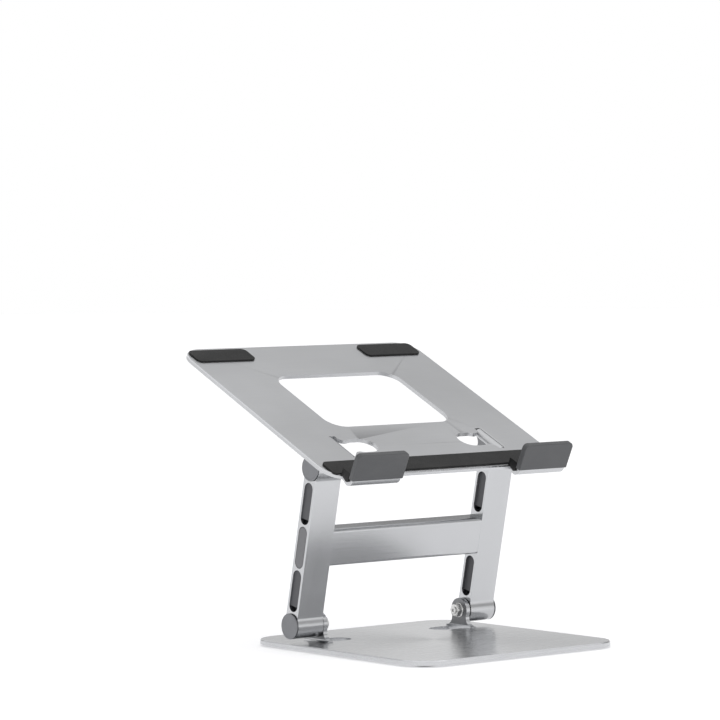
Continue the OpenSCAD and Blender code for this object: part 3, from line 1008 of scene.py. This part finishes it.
@dataclass
class BasePlate:
    """The base: an aluminium sheet on rubber feet, with the two lower lugs folded up from it."""

    places: Places
    palette: Palette
    sheet: float = 4.0
    corner_r: float = 27.0
    chamfer: float = 0.8
    lug_face: float = 78.5
    edge_break: float = 0.25
    foot_dish: float = 0.4
    foot_hollow: float = 0.3  # the sole's hollow and its ring, as shares of the foot's radius
    foot_ring: float = 0.55
    foot_break: float = 0.1

    def build(self) -> None:
        """Model the sheet and its feet."""
        self.plate()
        for node in sorted(n for n in frame["nodes"] if n.startswith("foot_")):
            if node == "foot_centre":
                self.centre_foot(node)
            else:
                self.round_foot(node)

    def plate(self) -> None:
        """Model the sheet with its punched holes and folded lugs."""
        low, high = (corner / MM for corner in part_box("base_plate"))
        top = low.z + self.sheet
        plate = chamfered_plate(
            "base_sheet", tuple(low), (high.x, high.y, top), self.corner_r, self.chamfer
        )
        lug = FoldedLug(self.places.lower.z - top, self.sheet, self.lug_face)
        holes = lug.punch("base punch", (low.z - 1, top + 1))
        Bench.place(holes, Matrix.Translation((0, self.places.lower.y * MM, 0)))
        Bench.combine(plate, Bench.both_sides(holes), "DIFFERENCE")
        lugs = Bench.place(lug.solid("base lugs"), self.places.at_base)
        Bench.combine(plate, Bench.both_sides(lugs), "UNION")
        Bench.soften(plate, self.edge_break, slot=1)
        # Slot 2 paints the upright lugs' flat faces darker: painted shade for their dark reflection, on the same
        # aluminium as the sheet.
        clear = top + lug.bend_r + self.sheet / 2
        Bench.paint(plate, 2, lambda middle, normal: middle.z > clear and abs(normal.x) > 0.9)
        commit(
            plate, "base", "plate_aluminium", "base_plate", self.palette.base,
            self.palette.edge, self.palette.lug,
        )

    def round_foot(self, node: str) -> None:
        """Turn a round foot with a dished sole."""
        low, high = (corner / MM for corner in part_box(node))
        radius, height = (high.x - low.x) / 2, high.z - low.z
        dish = self.foot_dish
        profile = [
            (dish, radius * self.foot_hollow), (0, radius * self.foot_ring),
            (0, radius - dish), (dish, radius),
        ]
        foot = Bench.turned(node + "_pad", [*profile, (height, radius)])
        centre = (low + high) / 2
        turn = Matrix.Rotation(-math.pi / 2, 4, "Y")
        Bench.place(foot, Matrix.Translation((centre.x * MM, centre.y * MM, 0)) @ turn)
        Bench.soften(foot, self.foot_break)
        commit(foot, "base", "foot_rubber", node, self.palette.foot)

    def centre_foot(self, node: str) -> None:
        """Model the long middle foot: a rounded strip with a softened sole."""
        low, high = (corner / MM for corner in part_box(node))
        foot = Bench.block(node + "_pad", tuple(low), tuple(high))
        Bench.round_edges(foot, (high.y - low.y) / 2 - NEAR, CORNER_STEPS, upright)
        Bench.soften(foot, self.foot_dish)
        commit(foot, "base", "foot_rubber", node, self.palette.foot)


# ---- arm ----


@dataclass
class Arm:
    """The H-shaped arm: two slotted legs with hinge barrels, and a crossbar between them."""

    places: Places
    palette: Palette
    leg_t: float = 15.2
    barrel_r: float = 10.5
    blend_r: float = 8.0
    bush_r: float = 5.0
    pocket_r: float = 8.4
    pocket_in: float = 91.3
    slot_l: float = 34.8
    slot_w: float = 10.6
    slot_web: float = 1.9
    slot_end_depth: float = 8.0
    plug_t: float = 8.5
    plug_gap: float = 0.45
    recess_out: float = 1.5
    recess_in: float = 2.5
    notch_l: float = 4.0
    notch_d: float = 6.0
    bar_h: float = 31.4
    bar_edge_r: float = 3.0
    cap_t: float = 1.6
    cap_spigot: float = 3.0
    cap_rim: tuple = ((0.35, 0.0), (0.1, 0.15), (0.0, 0.45))  # back from the face, in from the edge
    cap_band: float = 1.6
    cap_slope: float = 0.15
    cap_dish: float = 0.12
    cap_eye: float = 0.6
    cap_sides: int = 96
    joint_gap: float = 0.7
    joint_depth: float = 1.1
    edge_break: float = 0.3

    def __post_init__(self) -> None:
        """Read where the legs' inner and outer faces lie."""
        low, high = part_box("leg_right")
        self.leg_in, self.leg_out = low.x / MM, high.x / MM
        self.middle = self.places.span / 2

    def build(self) -> None:
        """Model the legs with what fills their slots and ends, then the crossbar."""
        self.pair("leg", self.leg(), "arm_aluminium", self.palette.leg, self.palette.edge)
        self.pair("slot_plug", self.plug(), "plug_plastic", self.palette.plug)
        for row, step in (("lower", -1), ("upper", 1)):
            self.pair(
                f"{row}_insert", self.insert(step), "insert_plastic", self.palette.insert
            )
            height = 0 if row == "lower" else self.places.span
            self.pair(f"{row}_cap", self.cap(height), "cap_aluminium", self.palette.cap)
        self.crossbar()

    def pair(self, node: str, right: Object, slot: str, *finishes: Material) -> None:
        """Fit a right-hand piece, and its twin on the left.

        Args:
            node: The two nodes' name, without its side.
            right: The right-hand piece, in the arm's own frame.
            slot: The record's material slot.
            *finishes: Materials in slot order.
        """
        for side, piece in Bench.pair(right, self.places.at_arm, node):
            Bench.soften(piece, self.edge_break / 2, slot=len(finishes) - 1)
            commit(piece, "arm", slot, f"{node}_{side.word}", *finishes)

    def leg(self) -> Object:
        """Model one leg: a flat bar that swells into a barrel at each end, slotted and bored."""
        half, span = self.leg_t / 2, self.places.span
        hollow_y = half + self.blend_r
        hollow_z = math.sqrt((self.barrel_r + self.blend_r) ** 2 - hollow_y**2)
        turn = math.degrees(math.atan2(hollow_z, hollow_y))
        x_range = (self.leg_in, self.leg_out)
        draw = Outline("leg", x_range, (-half, span - hollow_z), (-half, hollow_z))
        draw.arc((-hollow_y, hollow_z), -turn).arc((0, 0), 180 + 2 * turn)
        draw.arc((hollow_y, hollow_z), -turn).line(half, span - hollow_z)
        draw.arc((hollow_y, span - hollow_z), -turn).arc((0, span), 180 + 2 * turn)
        draw.arc((-hollow_y, span - hollow_z), -turn)
        leg = draw.close()
        through = (self.leg_in - 1, self.leg_out + 1)
        blind = (self.leg_in + self.slot_end_depth, self.leg_out + 1)
        for step, x_range in ((-1, through), (0, blind), (1, through)):
            slot = racetrack("slot", x_range, self.slot_l, self.slot_w, self.slot_z(step))
            Bench.combine(leg, slot, "DIFFERENCE")
        for height in (0, span):
            profile = [
                (through[0], self.bush_r), (self.pocket_in, self.bush_r),
                (self.pocket_in, self.pocket_r), (through[1], self.pocket_r),
            ]
            bore = Bench.turned("bore", profile)
            Bench.place(bore, Matrix.Translation((0, 0, height * MM)))
            Bench.combine(leg, bore, "DIFFERENCE")
        return leg

    def slot_z(self, step: int) -> float:
        """Height of a slot's middle, counted in slots from the leg's middle."""
        return self.middle + step * (self.slot_l + self.slot_web)

    def plug(self) -> Object:
        """Model the flush cover of the middle slot, with a hairline of play round it."""
        gap = 2 * self.plug_gap
        x_range = (self.leg_out - self.plug_t, self.leg_out)
        return racetrack("plug", x_range, self.slot_l - gap, self.slot_w - gap, self.slot_z(0))

    def insert(self, step: int) -> Object:
        """Model the recessed filling of an open slot, with a deep notch at its lower end."""
        x_range = (self.leg_in + self.recess_in, self.leg_out - self.recess_out)
        centre = self.slot_z(step)
        insert = racetrack("insert", x_range, self.slot_l, self.slot_w, centre)
        foot = centre - self.slot_l / 2
        for x in (self.leg_in, self.leg_out - self.recess_out - self.notch_d):
            depth = self.recess_in + self.notch_d
            notch = Bench.block(
                "notch", (x, -self.slot_w, foot - 1), (x + depth, self.slot_w, foot + self.notch_l)
            )
            Bench.combine(insert, notch, "DIFFERENCE")
        return insert

    def cap(self, height: float) -> Object:
        """Turn an end cap: a spigot in the barrel, a shadow joint, and a disc with a soft rim."""
        out, rim = self.leg_out, self.barrel_r
        neck = rim - self.joint_depth
        face = out + self.cap_t
        profile = [
            (out - self.cap_spigot, self.pocket_r), (out, self.pocket_r), (out, neck),
            (out + self.joint_gap, neck), (out + self.joint_gap, rim),
            *((face - back, rim - inward) for back, inward in self.cap_rim),
            (face, rim - self.cap_band),
            (face - self.cap_dish, rim - self.cap_band - self.cap_slope),
            (face - self.cap_dish, self.cap_eye),
        ]
        cap = Bench.turned("cap", profile, self.cap_sides)
        return Bench.place(cap, Matrix.Translation((0, 0, height * MM)))

    def crossbar(self) -> None:
        """Model the crossbar: an extruded bar with round long edges, butted to the legs."""
        half = self.leg_t / 2
        rise = self.bar_h / 2
        bar = Bench.block(
            "crossbar_body", (-self.leg_in, -half, self.middle - rise),
            (self.leg_in, half, self.middle + rise),
        )
        Bench.round_edges(bar, self.bar_edge_r, 6, sideways)
        Bench.place(bar, self.places.at_arm)
        Bench.soften(bar, self.edge_break / 2, slot=1)
        commit(bar, "arm", "arm_aluminium", "crossbar", self.palette.bar, self.palette.edge)


# ---- tray ----


@dataclass
class Tray:
    """The tray: a windowed sheet with two lugs folded down and two hooks folded up from it."""

    places: Places
    palette: Palette
    width: float = 250.0
    front: float = -47.4
    rear: float = 177.6
    under: float = 15.2
    sheet: float = 3.2
    corner_r: float = 20.0
    chamfer: float = 0.8
    lug_face: float = 78.5
    side_rail: float = 60.0
    rear_rail: float = 53.6
    window_front: float = 32.0
    window_r: float = 16.0
    hook_x: float = 88.0
    hook_w: float = 49.0
    hook_bend_r: float = 3.3
    hook_dip: float = 1.8
    tongue_root: float = 10.0
    sleeve_back: float = -54.8
    sleeve_wall: float = 1.0
    sleeve_side: float = 1.6
    sleeve_h: float = 23.2
    sleeve_gap: float = 0.3
    sleeve_corner_r: float = 4.0
    sleeve_edge_r: float = 0.8
    pad_d: float = 9.4
    pad_h: float = 6.8
    strip_t: float = 1.4
    strip_d: float = 20.0
    strip_r: float = 5.0
    front_strip_y: float = -44.4
    rear_strip_w: float = 60.0
    strip_break: float = 0.4
    pad_break: float = 0.3
    edge_break: float = 0.25

    def __post_init__(self) -> None:
        """Work out where the sheet's top and the hook's blade lie."""
        self.top = self.under + self.sheet
        self.blade_y = self.sleeve_back - self.sleeve_wall - self.sheet / 2
        self.bend_z = self.top + self.hook_bend_r - self.hook_dip
        self.sleeve_low = self.bend_z + self.sleeve_gap

    def build(self) -> None:
        """Model the sheet, the hooks' rubber and the strips that the laptop rests on."""
        self.plate()
        for node, right, finish, slot in (
            ("hook_sleeve", self.sleeve(), self.palette.sleeve, "sleeve_rubber"),
            ("hook_pad", self.hook_pad(), self.palette.pad, "pad_silicone"),
            ("rear_pad", self.rear_strip(), self.palette.pad, "pad_silicone"),
        ):
            for side, piece in Bench.pair(right, self.places.at_tray, node):
                commit(piece, "tray", slot, f"{node}_{side.word}", finish)
        self.front_strip()

    def plate(self) -> None:
        """Model the sheet: window, punched holes, lugs and hooks."""
        half = self.width / 2
        low, high = (-half, self.front, self.under), (half, self.rear, self.top)
        plate = chamfered_plate("tray_sheet", low, high, self.corner_r, self.chamfer)
        side = half - self.side_rail
        window = Bench.block(
            "window", (-side, self.window_front, self.under - 1),
            (side, self.rear - self.rear_rail, self.top + 1),
        )
        Bench.round_edges(window, self.window_r, SLOT_STEPS, upright)
        Bench.combine(plate, window, "DIFFERENCE")
        lug = FoldedLug(self.under, self.sheet, self.lug_face)
        holes = Bench.both_sides(lug.punch("tray punch", (self.under - 1, self.top + 1)))
        Bench.combine(plate, holes, "DIFFERENCE")
        lugs = Bench.place(lug.solid("tray lugs"), Matrix.Scale(-1, 4, (0, 0, 1)))
        Bench.combine(plate, Bench.both_sides(lugs), "UNION")
        hooks = self.hook("hooks", self.hook_x - self.hook_w / 2, self.hook_x + self.hook_w / 2)
        Bench.combine(plate, Bench.both_sides(hooks), "UNION")
        # Slot 2 paints the hanging lugs' flat faces darker: painted shade for their dark reflection, on the same
        # aluminium as the sheet.
        clear = self.under - lug.bend_r - self.sheet / 2
        Bench.paint(plate, 2, lambda middle, normal: middle.z < clear and abs(normal.x) > 0.9)
        Bench.place(plate, self.places.at_tray)
        Bench.soften(plate, self.edge_break, slot=1)
        commit(
            plate, "tray", "plate_aluminium", "tray_plate", self.palette.tray,
            self.palette.edge, self.palette.lug,
        )

    def hook(self, name: str, left: float, right: float) -> Object:
        """Model a hook's metal: a tongue that dips, a quarter bend and an upright blade.

        Args:
            name: The prism's name.
            left: Its lowest X.
            right: Its highest X.

        Returns:
            The metal, from its root inside the tray's edge to its tip.
        """
        outer = self.blade_y - self.sheet / 2
        inner = self.blade_y + self.sheet / 2
        bend = (inner + self.hook_bend_r, self.bend_z)
        tip = self.sleeve_low + self.sleeve_h - self.sleeve_side
        root = self.front + self.tongue_root
        draw = Outline(name, (left, right), (root, self.under), (self.front, self.under))
        draw.line(bend[0], self.under - self.hook_dip).arc(bend, -90)
        draw.line(outer, tip).line(inner, tip).line(inner, self.bend_z).arc(bend, 90)
        draw.line(self.front, self.top).line(root, self.top).line(root, self.under)
        return draw.close()

    def sleeve(self) -> Object:
        """Model the silicone sleeve over a hook's blade, open below."""
        half = self.hook_w / 2 + self.sleeve_side
        rear = self.sleeve_back
        front = rear - self.sheet - 2 * self.sleeve_wall
        high = self.sleeve_low + self.sleeve_h
        sleeve = Bench.block(
            "sleeve", (self.hook_x - half, front, self.sleeve_low), (self.hook_x + half, rear, high)
        )
        Bench.round_edges(
            sleeve, self.sleeve_corner_r, 6,
            lambda a, b: abs(a.z - high) + abs(b.z - high) < NEAR and abs(a.x - b.x) < NEAR,
        )
        Bench.soften(sleeve, self.sleeve_edge_r, steps=4)
        blade = Bench.block(
            "blade", (self.hook_x - self.hook_w / 2, self.blade_y - self.sheet / 2, self.under),
            (self.hook_x + self.hook_w / 2, self.blade_y + self.sheet / 2, high - self.sleeve_side),
        )
        return Bench.combine(sleeve, blade, "DIFFERENCE")

    def hook_pad(self) -> Object:
        """Model the rubber block between a sleeve and the laptop's front edge."""
        half = self.hook_w / 2 + self.sleeve_side
        left, right = self.hook_x - half, self.hook_x + half
        pad = Bench.block(
            "hook pad", (left, self.sleeve_back, self.top - self.hook_dip),
            (right, self.sleeve_back + self.pad_d, self.top + self.pad_h),
        )
        Bench.combine(pad, self.hook("seat", left - 1, right + 1), "DIFFERENCE")
        return Bench.soften(pad, self.pad_break, steps=3)

    def strip(self, name: str, x_range: tuple, y: float) -> Object:
        """Model a silicone strip on the sheet from its X range and its front edge's Y."""
        low = (x_range[0], y, self.top)
        high = (x_range[1], y + self.strip_d, self.top + self.strip_t)
        strip = Bench.block(name, low, high)
        Bench.round_edges(strip, self.strip_r, 10, upright)
        return Bench.soften(strip, self.strip_break, steps=3)

    def rear_strip(self) -> Object:
        """Model the right-hand rear strip."""
        outer = self.width / 2 - self.strip_r
        x_range = (outer - self.rear_strip_w, outer)
        return self.strip("rear strip", x_range, self.rear - self.strip_r - self.strip_d)

    def front_strip(self) -> None:
        """Model the strip along the tray's front edge."""
        half = self.width / 2 - self.strip_r
        strip = self.strip("front_pad_body", (-half, half), self.front_strip_y)
        Bench.place(strip, self.places.at_tray)
        commit(strip, "tray", "pad_silicone", "front_pad", self.palette.pad)


# ---- hinges ----


@dataclass
class HingeNuts:
    """The flange nuts that close each hinge on the lug's inner face."""

    places: Places
    palette: Palette
    lug_face: float = 78.5
    base_sheet: float = 4.0
    tray_sheet: float = 3.2
    flange_r: float = 6.2
    flange_t: float = 1.0
    skirt_rise: float = 0.25
    skirt_in: float = 0.9
    skirt_drop: float = 0.35
    hex_r: float = 5.8
    hex_t: float = 4.2
    hex_sides: int = 6
    hex_root: float = 0.2  # how far the hexagon stops short of the lug, inside the flange
    crown_play: float = 0.1
    chamfer: float = 0.55
    thread_r: float = 3.0
    thread_sides: int = 48
    edge_break: float = 0.12

    def build(self) -> None:
        """Model the four nuts."""
        for row, body, sheet, matrix in (
            ("lower", "base", self.base_sheet, self.places.at_base),
            ("upper", "tray", self.tray_sheet, self.places.at_tray),
        ):
            node = f"{row}_nut"
            for side, piece in Bench.pair(self.nut(self.lug_face - sheet), matrix, node):
                Bench.soften(piece, self.edge_break)
                commit(piece, body, "fastener_steel", f"{node}_{side.word}", self.palette.steel)

    def nut(self, face: float) -> Object:
        """Model one nut that sits against a lug's inner face.

        Args:
            face: X of that face.

        Returns:
            The nut, about the X axis.
        """
        seat = face - self.flange_t
        end = seat - self.hex_t
        ends = [(end, self.hex_r), (face - self.hex_root, self.hex_r)]
        nut = Bench.turned("nut", ends, self.hex_sides)
        crown = [
            (end, self.hex_r - 2 * self.chamfer), (end + self.chamfer, self.hex_r),
            (seat, self.hex_r + self.crown_play), (face, self.hex_r + self.crown_play),
        ]
        Bench.combine(nut, Bench.turned("crown", crown), "INTERSECT")
        skirt = [
            (seat - self.skirt_rise, self.flange_r - self.skirt_in),
            (seat + self.skirt_drop, self.flange_r),
        ]
        flange = Bench.turned("flange", [*skirt, (face, self.flange_r)])
        Bench.combine(nut, flange, "UNION")
        through = [(end - 1, self.thread_r), (face + 1, self.thread_r)]
        bore = Bench.turned("bore", through, self.thread_sides)
        return Bench.combine(nut, bore, "DIFFERENCE")


class HingeFittings:
    """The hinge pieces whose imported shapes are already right: they only get their finishes."""

    def __init__(self, palette: Palette) -> None:
        """Keep the finishes, by the word that names each kind of fitting."""
        self.finishes = {
            "shaft": palette.steel,
            "locknut": palette.steel,
            "screws": palette.steel,
            "washer": palette.ground,
            "disc": palette.ground,
            "springs": palette.spring,
            "bush": palette.bronze,
        }

    def build(self) -> None:
        """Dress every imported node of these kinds."""
        for node in sorted(frame["nodes"]):
            kinds = [kind for kind in self.finishes if f"_{kind}_" in node]
            if kinds:
                dress(node, self.finishes[kinds[0]])


# ---- studio ----


@dataclass
class Studio:
    """A pale floor, a white surround with soft lights, and the camera."""

    palette: Palette
    yaw: float = -39.04
    pitch: float = 2.11
    roll: float = -0.49
    distance: float = 2782.8
    aim: tuple = (-83.68, -9.87, 236.7)
    focal: float = 174.4
    floor_r: float = 12000.0
    belts: tuple = ((0.0, 1.0), (0.16, 1.0), (0.28, 0.3), (0.5, 0.4), (0.8, 1.0))
    front_belt: float = 0.5
    sensor_w: float = 36.0
    lamps: tuple = (  # name, place, width and power
        ("key", (900, -1500, 1900), 1400, 4.5),
        ("fill", (-1900, -900, 900), 1200, 1.6),
        ("rim", (300, 1900, 1500), 1200, 2.5),
    )

    def build(self) -> None:
        """Set up the floor, the lights and the camera."""
        bpy.context.scene.view_settings.view_transform = "Standard"
        self.floor()
        self.surround()
        for lamp in self.lamps:
            self.lamp(*lamp)
        self.camera()

    def floor(self) -> None:
        """Add the round light table that the stand is on."""
        bpy.ops.object.select_all(action="DESELECT")
        bpy.ops.mesh.primitive_circle_add(
            vertices=96, radius=self.floor_r * MM, fill_type="NGON"
        )
        floor = bpy.context.object
        floor.name = "studio_floor"
        floor.data.materials.append(self.palette.table)

    def surround(self) -> None:
        """Wrap the studio in light that is white to the eye and banded in the metal's gloss.

        The light is full at the horizon and overhead, with a darker belt between them, darkest
        at the back, as where flags stand round a table. It draws the bright edges and dark flanks
        of satin metal.
        """
        world = bpy.data.worlds.new("banded studio light")
        bpy.context.scene.world = world
        world.use_nodes = True
        tree = world.node_tree
        tree.nodes.clear()
        way = add(tree, "TexCoord").outputs["Generated"]
        height = add(tree, "SeparateXYZ", links={0: way}).outputs[2]
        belt = add(tree, "ValToRGB", links={0: height})
        ramp = belt.color_ramp
        ramp.interpolation = "EASE"
        for _ in self.belts[2:]:
            ramp.elements.new(0.5)
        for stop, (place, light) in zip(ramp.elements, self.belts):
            stop.position, stop.color = place, (light, light, light, 1.0)
        back = add(tree, "SeparateXYZ", links={0: way}).outputs[1]
        front = add(
            tree, "MapRange",
            {"From Min": 0.3, "From Max": -0.3, "To Min": 0.0, "To Max": self.front_belt},
            {"Value": back},
        )
        belt = add(
            tree, "Math", links={0: belt.outputs[0], 1: front.outputs[0]}, operation="MAXIMUM"
        )
        seen = add(tree, "LightPath").outputs["Is Camera Ray"]
        colour = add(
            tree, "Mix", {7: (1.0, 1.0, 1.0, 1.0)}, {0: seen, 6: belt.outputs[0]},
            data_type="RGBA",
        )
        light = add(tree, "Background", {"Strength": 1.0}, {0: colour.outputs[2]})
        output = add(tree, "OutputWorld")
        tree.links.new(light.outputs[0], output.inputs[0])

    def lamp(self, name: str, place: tuple, size: float, power: float) -> None:
        """Hang a square soft box that faces the middle of the stand.

        Args:
            name: The light's name.
            place: Where it hangs, in millimetres.
            size: Its width in millimetres.
            power: Its power in watts.
        """
        data = bpy.data.lights.new(name, "AREA")
        data.energy, data.size = power, size * MM
        lamp = bpy.data.objects.new(name, data)
        bpy.context.scene.collection.objects.link(lamp)
        lamp.location = Vector(place) * MM
        target = Vector((0, 0, 120 * MM))
        lamp.rotation_euler = (lamp.location - target).to_track_quat("Z", "Y").to_euler()

    def camera(self) -> None:
        """Put a long lens in front of the stand's left side, a little above the desk."""
        data = bpy.data.cameras.new("camera")
        data.lens, data.sensor_width = self.focal, self.sensor_w
        camera = bpy.data.objects.new("camera", data)
        bpy.context.scene.collection.objects.link(camera)
        yaw, pitch = math.radians(self.yaw), math.radians(self.pitch)
        back = Vector(
            (math.sin(yaw) * math.cos(pitch), -math.cos(yaw) * math.cos(pitch), math.sin(pitch))
        )
        camera.location = (Vector(self.aim) + back * self.distance) * MM
        camera.rotation_mode = "QUATERNION"
        roll = Quaternion((0, 0, 1), math.radians(self.roll))
        camera.rotation_quaternion = back.to_track_quat("Z", "Y") @ roll
        bpy.context.scene.camera = camera


def main() -> None:
    """Build the stand, part by part, and the studio around it."""
    logging.basicConfig(level=logging.INFO, format="%(name)s: %(message)s")
    places = Places.from_frame()
    palette = Palette(places)
    for part in (
        BasePlate(places, palette),
        Arm(places, palette),
        Tray(places, palette),
        HingeNuts(places, palette),
        HingeFittings(palette),
        Studio(palette),
    ):
        part.build()
        LOG.info("%s done", type(part).__name__)


if __name__ == "__main__":
    main()
